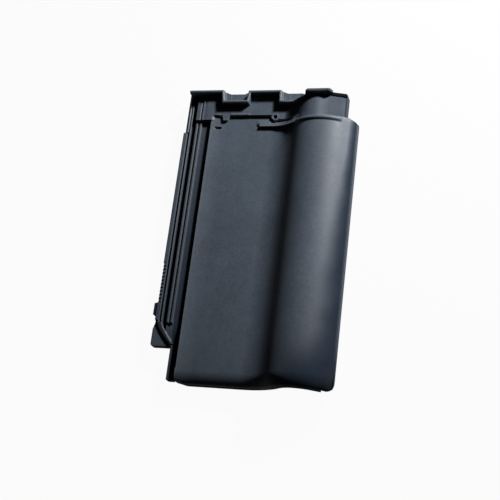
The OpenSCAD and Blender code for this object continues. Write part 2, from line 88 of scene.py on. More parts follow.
def slope(x):
    """Slope of the face at x: arcs whose sine grows evenly with x, joined by straight flanks."""
    edge_r = (EDGE_RUN**2 + EDGE_RISE**2) / (2 * EDGE_RISE)
    turned = np.clip((x - cover_bend) / TURN_RUN, 0, 1) * (np.sin(TURN_END) - np.sin(COVER))
    ends = (PAN_EDGE + EDGE_RUN, valley, flank_foot, flank_top, CREST_X, cover_bend)
    sines = [
        -np.clip((PAN_EDGE + EDGE_RUN - x) / edge_r, 0, 0.5),
        0 * x,
        (x - valley) / VALLEY_R,
        np.sin(FLANK) + 0 * x,
        (CREST_X - x) / CREST_R,
        -np.clip((x - CREST_X) / COVER_R, 0, np.sin(COVER)),
    ]
    return np.arcsin(np.select([x < end for end in ends], sines, -np.sin(COVER) - turned))


face_x = np.linspace(PAN_EDGE, cover_end, 4000)
step_z = np.tan(slope((face_x[1:] + face_x[:-1]) / 2)) * np.diff(face_x)
face_line = EDGE_RISE + np.concatenate([[0], np.cumsum(step_z)])


def face(x):
    """Height of the face at x: its slope added up from the pan's left edge."""
    return np.interp(x, face_x, face_line)


def under_face(x, d):
    """Height at x of the curve that runs a depth d square below the face."""
    lean = slope(face_x)
    return np.interp(x, face_x + d * np.sin(lean), face_line - d * np.cos(lean))


def rounded(corners, radius, steps=3):
    """The open line through the corners, each inner corner replaced by a quadratic curve that
    leaves its two sides at the radius, or at two fifths of a short side."""
    p = np.array(corners, float)
    side = np.diff(p, axis=0)
    size = np.hypot(*side.T)
    cut = np.minimum(radius, 0.4 * np.minimum(size[:-1], size[1:]))
    enter = p[1:-1] - side[:-1] * (cut / size[:-1])[:, None]
    leave = p[1:-1] + side[1:] * (cut / size[1:])[:, None]
    t = np.linspace(0, 1, steps + 1)[:, None, None]
    arcs = (1 - t) ** 2 * enter + 2 * t * (1 - t) * p[1:-1] + t**2 * leave
    return np.concatenate([p[:1], arcs.transpose(1, 0, 2).reshape(-1, 2), p[-1:]])


# Section of the side lock: strip, outer rib, deep channel, two narrow ribs, inner channel.
lock_line = rounded(
    [(-6, -3.0), (-0.6, -3.0), (0.3, -1.8), (6.0, -1.8), (7.0, -3.6), (9.1, -3.6), (9.7, -0.8)]
    + [(11.4, -0.8), (12.0, -7.5), (18.0, -7.5), (18.6, -0.4), (21.6, -0.4), (22.2, -3.2)]
    + [(24.0, -3.2), (24.6, -0.4), (27.6, -0.4), (28.2, -3.5), (42.3, -3.5), (42.9, 2.2)]
    + [(43.6, 2.95), (46.0, face(46.0))],
    0.7,
)
# The strip beside the head is slimmer and leans outwards, with a shallow groove by its crest.
slim_line = rounded(
    [(1.8, -5.0), (5.6, -1.2), (6.9, -0.9), (7.8, -2.0), (9.0, -2.2), (9.7, -0.8)]
    + [(11.4, -0.8), (12.0, -7.5)],
    0.6,
)
# Section of the block at the head, which closes the ribs and the inner channel.
block_line = rounded(
    [(17.6, -7.5), (18.0, -7.5), (18.6, 3.0), (25.0, 3.0), (25.6, 1.6), (27.0, 1.6), (27.8, 4.0)]
    + [(30.2, 4.0), (31.0, 3.0), (32.0, 3.0), (32.8, 4.0), (50.0, 4.0)],
    0.6,
)

# Places up the slope: rounded foot, plate and outlet of the lock, tab, teeth, slim strip, head.
NOSE_R = 30.0
NOSE_DROP = 6.0
PLATE_END = 90
RIBS_END = 86
RIB_TURN_Y = 85
RIB_TURN = 29
TEETH_Y = 116
TOOTH = 5.5
TEETH = 11
SLIM_Y = 386.5
PLATEAU_Y = LENGTH - 39
BLOCK_Y = LENGTH - 46
STOP_Y = LENGTH - 57.5
HIGH_RIM_Y = LENGTH - 12.5
LOW_RIM_Y = LENGTH - 15.5
RIM_Y = LENGTH - 3.75

# Heights of the lock's parts: deep channel, plate, ledge and its lip, turned rib, and the strip
# with the cross bars between its teeth.
CHANNEL_Z = -7.5
PLATE_Z = -5.6
LEDGE_Z = -7.0
LEDGE_LIP_Z = -3.5
RIB_Z = -1.8
STRIP_Z = -3.6
BAR_RISE = 1.3
BAR_DROP = 1.2

# Heights and places of the head's parts across the tile.
PLATEAU_Z = 4.0
RIM_RISE = 10
ROLL_STEP = 1.0
STOP_RISE = 4.6
STOP_LENGTH = 13
BEAD_RISE = 2.2
BEAD_HALF = 3.2
HEAD_SLOPE = np.tan(np.radians(17))
HEAD_SIDE_X = WIDTH - 16.5
HIGH_RIM_X = CREST_X - 22.5
HIGH_RIM_RISE = 5
LOW_RIM_X = CREST_X + 18.5
LOW_RIM_RISE = 4
SIDE_LIP_RISE = 0.7
RIM_WIDTH = 4.5
NIBS = (75.5, 165.5)
NAIL = (143.2, LENGTH - 41.6)
NAIL_R = 2.8
BOSS_R = 6.5
BOSS_RISE = 0.3
HOLLOW_Z = 0.5
FOOT_LINE_RISE = 0.6
SLOT_X = 55.2
SLOT_R = 1.5
SLOT_HALF = 3.5
SLOT_Z = -4.5
SEAMS = (70.4, 161.8)
SEAM_RISE = 0.5


def lines(start, *spans):
    """Grid lines from start through spans of (end, spacing), each line once."""
    parts = []
    for end, spacing in spans:
        parts.append(np.linspace(start, end, max(int(round((end - start) / spacing)), 1) + 1))
        start = end
    return np.unique(np.round(np.concatenate(parts), 4))


# Lines of the grid. They lie close where the mould has its small ribs and rims, and pass through
# the corners of the lock and of the teeth.
lock_spans = [(-2.6, 0.8), (0, 0.65), (30, 0.6), (42, 2.0), (46, 0.5)]
pan_spans = [(57, 1.4), (65, 0.5), (74, 0.75), (98, 2.0), (105, 0.5), (136, 2.6), (153, 0.7)]
flank_spans = [(167, 1.0), (190, 1.5), (198, 0.5)]
roll_spans = [(229, 1.8), (235, 0.5), (250, 1.5), (255, 0.5), (267, 1.3), (WIDTH, 0.3)]
columns = lines(-TAB, *lock_spans, *pan_spans, *flank_spans, *roll_spans)
columns = np.unique(np.round(np.concatenate([columns, lock_line[1:-1, 0]]), 2))
columns = columns[np.concatenate([[True], np.diff(columns) > 0.12])]
teeth_end = TEETH_Y + TOOTH * TEETH
teeth_y = TEETH_Y + TOOTH * (np.arange(TEETH)[:, None] + 0.5) + [-2.25, -1.4, 1.4, 2.25]
rows_below = lines(0, (3, 0.5), (21, 1.5), (49, 4.0), (58, 0.75), (90, 1.2), (TEETH_Y, 1.3))
rows_above = lines(teeth_end, (380, 8.0), (391, 1.1), (402, 0.5), (425, 0.7), (LENGTH, 0.5))
rows = np.unique(np.round(np.concatenate([rows_below, rows_above, teeth_y.ravel()]), 3))

# Outline of the tile in plan, from the foot's left corner round the roll and back by the lock.
right_turn = np.radians(np.linspace(-90, 0, 9))
plate_turn = np.radians(np.linspace(180, 270, 7))
tooth_gaps = [(depth, y) for y, depth in zip(teeth_y.ravel()[::-1], [0, 1.2, 1.2, 0] * TEETH)]
outline = (
    [(29, 4.5), (30.5, 3), (PAN_EDGE, 3), (PAN_EDGE + 14, 0)]
    + [(WIDTH - 10 + 10 * np.cos(a), 10 + 10 * np.sin(a)) for a in right_turn]
    + [(WIDTH, 393), (WIDTH - 1, 393.5), (WIDTH - 4, 396), (WIDTH - 12, 399)]
    + [(HEAD_SIDE_X + 0.8, 400), (HEAD_SIDE_X, 401), (HEAD_SIDE_X, LOW_RIM_Y - 1.5)]
    + [(HEAD_SIDE_X - 1.5, LOW_RIM_Y), (LOW_RIM_X, LOW_RIM_Y), (LOW_RIM_X, HIGH_RIM_Y - 0.8)]
    + [(LOW_RIM_X - 0.8, HIGH_RIM_Y), (HIGH_RIM_X + 0.5, HIGH_RIM_Y), (182.5, 446), (181.5, 447)]
    + [(158.5, 447), (151.8, LENGTH), (96.8, LENGTH), (91.5, 447), (69.5, 447), (62.8, LENGTH)]
    + [(1.8, LENGTH), (1.8, 387), (0, 386)]
    + tooth_gaps
    + [(0, TEETH_Y), (-TAB, 115), (-TAB, 98), (0, 95), (0, RIBS_END), (-2.6, 77)]
    + [(2.4 + 5 * np.cos(a), 56 + 5 * np.sin(a)) for a in plate_turn]
    + [(29, 51)]
)


def band(points, width):
    """Outline of a band of that width along the points, mitred at its bends."""
    p = np.array(points, float)
    turn = np.unwrap(np.arctan2(*np.diff(p, axis=0).T[::-1]))
    before, after = np.concatenate([turn[:1], turn]), np.concatenate([turn, turn[-1:]])
    reach = width / 2 / np.cos((after - before) / 2)
    side = np.stack([-np.sin((before + after) / 2), np.cos((before + after) / 2)], 1)
    side *= reach[:, None]
    return np.concatenate([p + side, (p - side)[::-1]])


def turned_edge(t):
    """x of the turned rib's edge by the plate, at the share t of its way down the slope."""
    return 11.7 + 20 * t**1.2


# Parts of the lock and of the head in plan.
rim_plan = band(
    [(6, RIM_Y + 1.5), (59, RIM_Y + 1.5), (62, RIM_Y - 16), (99.5, RIM_Y - 16), (101.5, RIM_Y)]
    + [(149, RIM_Y), (150.5, RIM_Y - 16.8), (HIGH_RIM_X - 2, RIM_Y - 17.6)]
    + [(HIGH_RIM_X + 2.25, RIM_Y - 14), (HIGH_RIM_X + 2.25, HIGH_RIM_Y)],
    RIM_WIDTH,
)
rib_plan = [(3.5, 88)]
rib_plan += [(3.8 + 24 * t**1.4, RIB_TURN_Y - 31 * t) for t in np.linspace(0, 1, 7)]
rib_plan += [(turned_edge(t), RIB_TURN_Y - RIB_TURN * t) for t in np.linspace(1, 0, 7)]
rib_plan += [(12, 88)]
plate_plan = [(-4, PLATE_END), (-4, 50), (29.5, 50), (29.5, 55), (11, 84), (4, PLATE_END)]
tip_plan = [(60, 412), (62, 403), (69, 403), (73, 412)]
hollow_plan = [(137, 399.5), (137, 404), (168, 404), (175, 399.5)]
shelf_plan = [(149, 404), (149, 420), (178, 420), (170, 404)]
behind_plan = [(155, 430), (192, 430), (194, 434), (194, 455), (155, 455)]
high_rim_plan = [(HIGH_RIM_X, 433), (LOW_RIM_X, 433), (LOW_RIM_X, 440), (HIGH_RIM_X, 440)]
low_rim_plan = [(232, 430.5), (256, 430.5), (256, 440), (232, 440)]
side_lip_plan = [(252, 400), (256, 400), (256, 431), (252, 431)]


def smooth(t):
    """Rises from 0 at t = 0 to 1 at t = 1 as 3 t^2 - 2 t^3 and stays level outside."""
    t = np.clip(t, 0, 1)
    return t * t * (3 - 2 * t)


def lift(z, inside, level, edge=1.0):
    """The surface z brought to a level where inside is positive, over a smooth edge."""
    return z + (level - z) * smooth(0.5 + inside / edge)


def nearest(x, y, corners):
    """For points x, y and a closed outline: the nearest point on it, and the distance to it,
    counted positive inside the outline and negative outside."""
    a = np.array(corners, float)
    ex, ey = (np.roll(a, -1, axis=0) - a).T
    dx, dy = x[..., None] - a[:, 0], y[..., None] - a[:, 1]
    t = np.clip((dx * ex + dy * ey) / (ex**2 + ey**2), 0, 1)
    gap = np.hypot(dx - t * ex, dy - t * ey)
    best = gap.argmin(-1)[..., None]
    crossed = (dy < 0) != (dy - ey < 0)
    right = dx < dy * ex / np.where(ey == 0, 1, ey)
    inside = (crossed & right).sum(-1) % 2 == 1
    near_x, near_y, gap = (
        np.take_along_axis(v, best, -1)[..., 0] for v in (a[:, 0] + t * ex, a[:, 1] + t * ey, gap)
    )
    return near_x, near_y, np.where(inside, gap, -gap)


def within(x, y, corners):
    """Distance of points inside a closed outline, negative outside it, -9 well away from it."""
    a = np.array(corners, float)
    close = (x > a[:, 0].min() - 3) & (x < a[:, 0].max() + 3)
    close &= (y > a[:, 1].min() - 3) & (y < a[:, 1].max() + 3)
    out = np.full(x.shape, -9.0)
    if close.any():
        out[close] = nearest(x[close], y[close], corners)[2]
    return out


# Each of the next functions lays one part of the tile over the surface z and returns the result.
def add_lock(x, y, z):
    """Side lock: its section at every y, slimmer beside the head."""
    lock = np.interp(x, *lock_line.T)
    lock = np.where((y > SLIM_Y) & (x < 12), np.interp(x, *slim_line.T), lock)
    return np.where((x < 45.9) & ((y > 20) | (x <= 42.8)), lock, z)


def add_outlet(x, y, z):
    """Foot end of the lock: a floor that falls to the foot, the plate with its rounded corner,
    the outer rib that turns along it and slopes outward, and the ledge with its lip."""
    left = x < PAN_EDGE - 0.4
    floor = np.where(y < 60, LEDGE_Z, STRIP_Z - 2.6 * smooth((80 - y) / 22))
    fallen = z + (floor - z) * smooth((RIBS_END - y) / 2)
    z = np.where(left & (x > 18) & (y < RIBS_END), fallen, z)
    plate = left & (y < PLATE_END) & (within(x, y, plate_plan) > 0)
    z = np.where(plate, PLATE_Z, z)
    z = np.where(left & (x < 12) & (y < RIBS_END) & ~plate, CHANNEL_Z, z)
    z = np.where(left & (x > 29) & (y < 52), LEDGE_Z, z)
    edge_x = turned_edge(np.clip((RIB_TURN_Y - y) / RIB_TURN, 0, 1))
    crest = RIB_Z - 0.3 * np.clip(0.75 * (edge_x - x) - 1, 0, 7) * smooth((90 - y) / 8)
    z = np.where(left & (y < 88), lift(z, within(x, y, rib_plan), crest), z)
    ledge_lip = np.maximum(np.where(y < 54, 31.6 - x, -9), 5.6 - y)
    return np.where(left & (x > 28.5), lift(z, ledge_lip, LEDGE_LIP_Z), z)


def add_strip(x, y, z):
    """Outer strip: the tab's rounded top, and low cross bars between the teeth."""
    tab = (x < 0.6) & (y > 94) & (y < TEETH_Y + 1)
    z = np.where(tab, STRIP_Z - 0.4 * smooth((-x - 3.5) / 1.5), z)
    bars = smooth((2.2 - np.abs((y - TEETH_Y) % TOOTH - TOOTH / 2)) / 0.7)
    bars = np.where((y > TEETH_Y) & (y < teeth_end), BAR_RISE * bars - BAR_DROP, 0)
    return z + bars * smooth((5.4 - x) / 0.8)


def head_plane(x):
    """Height of the slope that the roll's head is planed to, right of its crest."""
    return CREST_Z - ROLL_STEP - (x - CREST_X) * HEAD_SLOPE


def add_roll_head(x, y, z):
    """Head of the roll: a step down, then the lower of roll and plane, which meet in a round,
    and the low plateau behind the rim."""
    z = z - ROLL_STEP * smooth((y - STOP_Y - 2) / 1.5) * smooth((x - 172) / 3)
    plane = head_plane(x)
    meet = np.clip(1 - np.abs(z - plane) / 2.5, 0, None) * smooth((x - CREST_X + 14) / 4)
    planed = np.where(x > CREST_X - 14, np.minimum(z, plane) - 0.6 * meet**2, z)
    z = z + (planed - z) * smooth((y - STOP_Y - 4.5) / 2.5)
    lowered = lift(z, within(x, y, behind_plan), PLATEAU_Z, 1.2)
    return np.where(x > 155, np.minimum(z, lowered), z)


def add_stop_rib(x, y, z):
    """Stop rib: a wedge across the pan that falls towards the head and fades up the flank, and a
    round bead over the roll, half an ellipse in section."""
    rise = np.clip(STOP_RISE - 4.8 * (y - STOP_Y) / STOP_LENGTH, 0, None)
    rise = rise * smooth((181 - x) / 7)
    wedge = np.where(rise > 0, face(x) + rise, z)
    start_x = 117 + 2.2 * smooth((400 - y) / 8)
    wedge = z + (wedge - z) * smooth(y - STOP_Y + 0.5) * smooth((x - start_x + 0.6) / 1.2)
    z = np.maximum(z, wedge)
    bead = np.sqrt(np.clip(1 - ((y - STOP_Y - 1.3) / BEAD_HALF) ** 2, 0, None))
    ends = smooth((x - 174) / 8) * smooth((HEAD_SIDE_X - 5 - x) / 2)
    return z + (BEAD_RISE + smooth((y - STOP_Y - 2) / 1.5)) * bead * ends


def add_plateau(x, y, z):
    """Plateau of the head: its level, the hollow and the shelf beside the nail's boss, the tip,
    the boss, the block, the line along its foot edge, the slot, and two lines of the mould."""
    raised = np.maximum(z, lift(z, y - PLATEAU_Y, PLATEAU_Z))
    z = np.where((x > 43) & (x < 181), raised, z)
    z = np.minimum(z, lift(z, within(x, y, hollow_plan), HOLLOW_Z, 1.2))
    z = np.maximum(z, lift(z, within(x, y, shelf_plan), PLATEAU_Z))
    z = lift(z, within(x, y, tip_plan), PLATEAU_Z)
    boss = BOSS_R - np.hypot(x - NAIL[0], y - NAIL[1])
    z = lift(z, boss, PLATEAU_Z + BOSS_RISE * smooth(boss / 2))
    block = (np.interp(x, *block_line.T) - z) * smooth(y - BLOCK_Y + 0.5)
    z = np.where((x > 17.8) & (x < 48), z + block * smooth((48.4 - x) / 5), z)
    foot_line = smooth((x - 48) / 2) * smooth((58 - x) / 2)
    foot_line += smooth((x - 72) / 2) * smooth((104 - x) / 2)
    z = z + FOOT_LINE_RISE * np.exp(-(((y - PLATEAU_Y - 1.8) / 1.3) ** 2)) * foot_line
    past_slot = np.clip(np.abs(x - SLOT_X) - SLOT_HALF, 0, None)
    z = lift(z, SLOT_R - np.hypot(past_slot, y - STOP_Y), SLOT_Z)
    for seam_x in SEAMS:
        seam = np.exp(-(((x - seam_x + (y - 440) * 0.1) / 0.7) ** 2)) * smooth((y - 432) / 2)
        z = z + SEAM_RISE * seam
    return z


def add_rims(x, y, z):
    """Rims: the meandering one, which climbs the flank, the high one over the roll with sloped
    ends, the low one beside it, and the lip of the right edge."""
    rim = within(x, y, rim_plan)
    climb = np.maximum(PLATEAU_Z + RIM_RISE, np.where(x > 160, face(x) + 4, 0))
    z = lift(z, rim, climb - 0.7 * (1 - smooth(rim / 1.8)))
    rim = within(x, y, high_rim_plan)
    fall = 5.5 * np.clip((HIGH_RIM_X + 4.5 - x) / 4.5, 0, 1)
    fall += 7 * np.clip((x - LOW_RIM_X + 3.8) / 3.8, 0, 1)
    z = lift(z, rim, CREST_Z + HIGH_RIM_RISE - fall - 0.8 * (1 - smooth(rim / 2)))
    low_rim = head_plane(x) + LOW_RIM_RISE - 2.6 * np.clip((LOW_RIM_Y - 0.4 - y) / 3, 0, 1)
    low_rim = np.maximum(z, lift(z, within(x, y, low_rim_plan), low_rim))
    z = np.where(x > 232, low_rim, z)
    side_lip = within(x, y, side_lip_plan)
    return np.maximum(z, lift(z, side_lip, head_plane(x) + SIDE_LIP_RISE, 2.4))


def top(x, y):
    """Height of the upper surface: the face with its foot rounded down on a circle and its lip at
    the free edge, each part of the lock and the head laid over it, and the nail's hole."""
    nose_run = np.sqrt(NOSE_R**2 - (NOSE_R - NOSE_DROP) ** 2)
    nose = NOSE_R - np.sqrt(NOSE_R**2 - np.clip(nose_run - y, 0, None) ** 2)
    lip = face(x) + LIP_RISE * smooth((x - cover_end + 0.4) / 0.6) - nose
    z = np.where(x > cover_end - 0.2, lip, face(x) - nose / np.cos(slope(x)))
    parts = (add_lock, add_outlet, add_strip, add_roll_head, add_stop_rib, add_plateau, add_rims)
    for add_part in parts:
        z = add_part(x, y, z)
    return lift(z, NAIL_R - np.hypot(x - NAIL[0], y - NAIL[1]), -9.0, 0.8)


# Heights below the pan's face, and places of the parts that hang there.
COVER_UNDER = -1.5
LOCK_UNDER = -14.0
COVER_RIB_X = 244
COVER_RIB_Z = -4.0
FOOT_LIP_END = 18
NIB_Y = 439.5
NIB_HALF = (17.2, 7.7)


def underside(x, y):
    """Height of the lower surface: the face's parallel at the wall's thickness, with the foot
    lip, the lock's floor, the nibs and the cover ribs hanging below it."""
    z = under_face(x, WALL)
    z = np.where((x > 259) & (y > 10) & (y < STOP_Y), COVER_UNDER, z)
    z = np.where(x < 41, LOCK_UNDER, z)
    lip = np.maximum(np.where(x < 252, under_face(x, SUPPORT), z), -SUPPORT)
    lip = lip + (z - lip) * smooth((y - 12) / 6)
    z = np.where((x > 42) & (y < FOOT_LIP_END), lip, z)
    cover_rib = (np.abs(x - COVER_RIB_X) < 2) & (y > 12) & (y < 387)
    z = np.where(cover_rib, np.minimum(z, COVER_RIB_Z), z)
    shelf = (x > 42) & (y > PLATEAU_Y) & ((x < 183) | (x < 192.5) & (y > 426))
    z = np.where(shelf, np.minimum(z, -WALL), z)
    for nib in NIBS:
        on_nib = (np.abs(x - nib) < NIB_HALF[0]) & (np.abs(y - NIB_Y) < NIB_HALF[1])
        z = np.where(on_nib, -SUPPORT, z)
    return np.where(np.hypot(x - NAIL[0], y - NAIL[1]) < NAIL_R, -WALL, z)


# The grid is trimmed to the outline: cells whose middle lies inside it stay, and the corners on
# their rim move to the nearest point of the outline. The upper edge is rounded there by EDGE_R.
EDGE_R = 0.9
x, y = np.meshgrid(columns, rows)
middle_x, middle_y = (x[1:, 1:] + x[:-1, :-1]) / 2, (y[1:, 1:] + y[:-1, :-1]) / 2
kept = nearest(middle_x, middle_y, outline)[2] > 0
framed = np.pad(kept, 1)
around = framed[1:, 1:].astype(int) + framed[1:, :-1] + framed[:-1, 1:] + framed[:-1, :-1]
used, rim_corner = around > 0, (around > 0) & (around < 4)
near_x, near_y, inset = nearest(x, y, outline)
x, y = np.where(rim_corner, near_x, x), np.where(rim_corner, near_y, y)
inset = np.where(rim_corner, 0, np.clip(inset, 0, None))
drop = EDGE_R - np.sqrt(EDGE_R**2 - np.clip(EDGE_R - inset, 0, None) ** 2)
face_z = top(x, y)
upper = face_z - 0.8 * drop
lower = np.minimum(underside(x, y), upper - 1)

# How far each point stands out from the points NEAR away: above 0 on edges, below in grooves.
NEAR = 1.2
level = sum(top(x + a, y + b) for a, b in ((NEAR, 0), (-NEAR, 0), (0, NEAR), (0, -NEAR))) / 4
stands_out = np.clip((face_z - level) / NEAR, -1, 1)

number = np.full(x.shape, -1)
number[used] = np.arange(used.sum())
count = int(used.sum())
points = np.concatenate([np.stack([x[used], y[used], z[used]], 1) for z in (upper, lower)])
points = (points + ORIGIN) / 1000

i, j = np.nonzero(kept)
corners = ((i, j), (i, j + 1), (i + 1, j + 1), (i + 1, j))
upper_faces = np.stack([number[a, b] for a, b in corners], 1)
lower_faces = upper_faces[:, ::-1] + count


def wall(neighbour, a, b):
    """Upright faces along the sides of kept cells whose neighbour was trimmed away."""
    i, j = np.nonzero(kept & ~neighbour)
    start, end = number[i + a[0], j + a[1]], number[i + b[0], j + b[1]]
    return np.stack([start + count, end + count, end, start], 1)


skirt = [
    wall(framed[:-2, 1:-1], (0, 0), (0, 1)),
    wall(framed[2:, 1:-1], (1, 1), (1, 0)),
    wall(framed[1:-1, :-2], (1, 0), (0, 0)),
    wall(framed[1:-1, 2:], (0, 1), (1, 1)),
]
faces = np.concatenate([upper_faces, *skirt, lower_faces])
mesh = bpy.data.meshes.new("clay_tile")
mesh.from_pydata(points.tolist(), [], faces.tolist())
attribute = mesh.attributes.new("stands_out", "FLOAT", "POINT")
attribute.data.foreach_set("value", np.concatenate([stands_out[used], 0 * stands_out[used]]))

# The underside is flat over wide stretches, so its grid is thinned there.
form = bmesh.new()
form.from_mesh(mesh)
first = len(faces) - len(lower_faces)


def inner(parts):
    """Those edges or corners whose faces all belong to the underside, in the mesh's order."""
    return [part for part in parts if all(f.index >= first for f in part.link_faces)]


verts, edges = inner(form.verts), inner(form.edges)
bmesh.ops.dissolve_limit(form, angle_limit=0.004, verts=verts, edges=edges)
form.to_mesh(mesh)
form.free()
mesh.shade_smooth()
mesh.set_sharp_from_angle(angle=np.radians(50))
tile = bpy.data.objects.new("clay_tile", mesh)
bpy.context.scene.collection.objects.link(tile)


def new_group(name, inputs, outputs):
    """A shader node group with those named sockets, and its input and output nodes."""
    group = bpy.data.node_groups.new(name, "ShaderNodeTree")
    for way, sockets in (("INPUT", inputs), ("OUTPUT", outputs)):
        for label, kind in sockets:
            group.interface.new_socket(label, in_out=way, socket_type="NodeSocket" + kind)
    return group, group.nodes.new("NodeGroupInput"), group.nodes.new("NodeGroupOutput")


def spread(tree, value, start, end, low_value, high_value, kind="LINEAR"):
    """A value that runs from low_value to high_value while the input goes from start to end."""
    node = tree.nodes.new("ShaderNodeMapRange")
    node.interpolation_type = kind
    for socket, number in zip(list(node.inputs)[1:5], (start, end, low_value, high_value)):
        socket.default_value = number
    tree.links.new(value, node.inputs["Value"])
    return node.outputs["Result"]


def noise(tree, place, size, detail):
    """A noise of that grain size in millimetres over the place, as a socket from 0 to 1."""
    node = tree.nodes.new("ShaderNodeTexNoise")
    node.inputs["Scale"].default_value = 1 / size
    node.inputs["Detail"].default_value = detail
    tree.links.new(place, node.inputs["Vector"])
    return node.outputs["Fac"]


def drift(tree, place, size, least, most, detail=3, usual=(0.3, 0.7)):
    """A noise whose usual range is drawn out so that it runs from least to most."""
    return spread(tree, noise(tree, place, size, detail), *usual, least, most)


def combine(tree, operation, first, *others):
    """Values joined one after the other by a math operation; each is a socket or a number."""
    for other in others:
        node = tree.nodes.new("ShaderNodeMath")
        node.operation = operation
        for socket, value in zip(node.inputs, (first, other)):
            if isinstance(value, (int, float)):
                socket.default_value = value
            else:
                tree.links.new(value, socket)
        first = node.outputs[0]
    return first


def blend_colors(tree, share, first, second):
    """The first colour turned into the second by a share from 0 to 1."""
    node = tree.nodes.new("ShaderNodeMix")
    node.data_type = "RGBA"
    for socket, value in zip((node.inputs[0], *node.inputs[6:8]), (share, first, second)):
        tree.links.new(value, socket)
    return node.outputs[2]


# Tone of the engobe: clouded by the dip, freckled by its grog, thin and paler on sharp edges,
# and turned to a near black painted shade colour where the painted shade mask lies.
tone, given, result = new_group(
    "engobe_tone",
    [("Place", "Vector"), ("Engobe", "Color"), ("Thin", "Color"), ("Painted Shade Color", "Color")]
    + [("Stands Out", "Float"), ("Painted Shade", "Float")],
    [("Color", "Color")],
)
place = given.outputs["Place"]
cloud = drift(tone, place, 55, 0.90, 1.10)
freckle = drift(tone, place, 3.5, 0.90, 1.10)
grit = drift(tone, place, 0.9, 0.84, 1.16, detail=2, usual=(0.25, 0.75))
rubbed = combine(tone, "MULTIPLY", given.outputs["Stands Out"], drift(tone, place, 6, 0.5, 1.5))
rubbed = spread(tone, rubbed, 0.08, 0.45, 0, 0.8, "SMOOTHSTEP")
worn = blend_colors(tone, rubbed, given.outputs["Engobe"], given.outputs["Thin"])
# Painted shade: the worn tone blended into the shade colour by the mask.
shaded = blend_colors(tone, given.outputs["Painted Shade"], worn, given.outputs["Painted Shade Color"])
scaled = tone.nodes.new("ShaderNodeVectorMath")
scaled.operation = "SCALE"
tone.links.new(shaded, scaled.inputs[0])
tone.links.new(combine(tone, "MULTIPLY", cloud, freckle, grit), scaled.inputs["Scale"])
tone.links.new(scaled.outputs[0], result.inputs["Color"])

# Skin of the engobe: a satin whose gloss wanders a little, over fine grain and small pits.
skin, given, result = new_group(
    "engobe_skin",
    [("Place", "Vector"), ("Stands Out", "Float"), ("Painted Shade", "Float")],
    [("Roughness", "Float"), ("Height", "Float")],
)
place = given.outputs["Place"]
satin = drift(skin, place, 14, 0.45, 0.53)
rubbed = spread(skin, given.outputs["Stands Out"], 0.1, 0.5, 0.0, 0.06)
# Rougher where the painted shade mask lies, which also dims the sheen there.
dull = combine(skin, "MULTIPLY", given.outputs["Painted Shade"], 0.5)
skin.links.new(combine(skin, "ADD", satin, rubbed, dull), result.inputs["Roughness"])
grain = combine(skin, "MULTIPLY", noise(skin, place, 0.8, 3), 0.6)
ripple = combine(skin, "MULTIPLY", noise(skin, place, 9, 2), 1.2)
pits = spread(skin, noise(skin, place, 2.2, 1), 0.24, 0.32, -1.0, 0.0, "SMOOTHSTEP")
skin.links.new(combine(skin, "ADD", grain, ripple, pits), result.inputs["Height"])

# Painted shade: a mask that turns the engobe dark and matt where shade is painted. It is strongest
# by the free edge and the foot. It also lies on the head and the roll's crown, where it dims the
# highlight, on the left flank of the roll's head, and in the lock's channels. The underside is
# made dark by it too. Each mask is a product of ramps over the place, measured across, along and
# up from the middle of the tile's foot print.
shade_tree, given, result = new_group("painted_shade_mask", [("Place", "Vector")], [("Painted Shade", "Float")])
split = shade_tree.nodes.new("ShaderNodeSeparateXYZ")
shade_tree.links.new(given.outputs["Place"], split.inputs[0])
across, along, up = split.outputs
# Painted shade along the cover's free edge, reaching further in towards the foot.
start = spread(shade_tree, along, -165, 130, 86, 123)
side = combine(shade_tree, "SUBTRACT", across, start)
side = combine(shade_tree, "DIVIDE", side, combine(shade_tree, "SUBTRACT", 134, start))
side = combine(shade_tree, "ADD", side, drift(shade_tree, given.outputs["Place"], 40, -0.05, 0.05, detail=1))
side = combine(
    shade_tree,
    "MULTIPLY",
    spread(shade_tree, side, 0, 1.05, 0, 1, "SMOOTHSTEP"),
    spread(shade_tree, across, 134.6, 136, 1.0, 0.25),
)
# Painted shade across the foot, weaker over the lock.
foot = combine(
    shade_tree,
    "MULTIPLY",
    spread(shade_tree, along, -214, -135, 1.0, 0, "SMOOTHSTEP"),
    spread(shade_tree, across, 35, 85, 0.3, 1.0, "SMOOTHSTEP"),
)
# Painted shade over the roll's head, and a little over its crown, dimming the highlight there.
roll = spread(shade_tree, across, 76, 96, 0, 1)
head = combine(shade_tree, "MULTIPLY", spread(shade_tree, along, 173, 175, 0, 0.6), roll)
crown = combine(shade_tree, "MULTIPLY", spread(shade_tree, along, 0, 130, 0, 0.13), roll)
# Painted shade on the left flank of the roll's head.
flank = combine(
    shade_tree,
    "MULTIPLY",
    spread(shade_tree, along, 176, 182, 0, 0.7),
    spread(shade_tree, across, 58, 70, 1, 0, "SMOOTHSTEP"),
    spread(shade_tree, across, 44, 46, 0, 1),
)
# Painted shade in the low channels of the lock.
channel_shade = combine(
    shade_tree,
    "ADD",
    spread(shade_tree, up, 20.2, 18.6, 0, 0.42),
    spread(shade_tree, up, 15.4, 14.6, 0, 0.5),
    spread(shade_tree, along, -120, 170, 0.5, 0.2),
)
past_plate = combine(
    shade_tree,
    "MAXIMUM",
    spread(shade_tree, along, -145, -132, 0.35, 1),
    spread(shade_tree, across, -105, -103, 0, 1),
)
left = spread(shade_tree, across, -90.2, -89.6, 1, 0)
channel_shade = combine(shade_tree, "MULTIPLY", channel_shade, left, past_plate)
# The underside is made dark by the same mask.
under = spread(shade_tree, up, 14, 11, 0, 0.8)
both = combine(shade_tree, "MULTIPLY", side, foot)
painted_shade = combine(shade_tree, "SUBTRACT", combine(shade_tree, "ADD", side, foot), both)
painted_shade = combine(shade_tree, "MAXIMUM", painted_shade, head, crown, flank, channel_shade, under)
shade_tree.links.new(painted_shade, result.inputs["Painted Shade"])

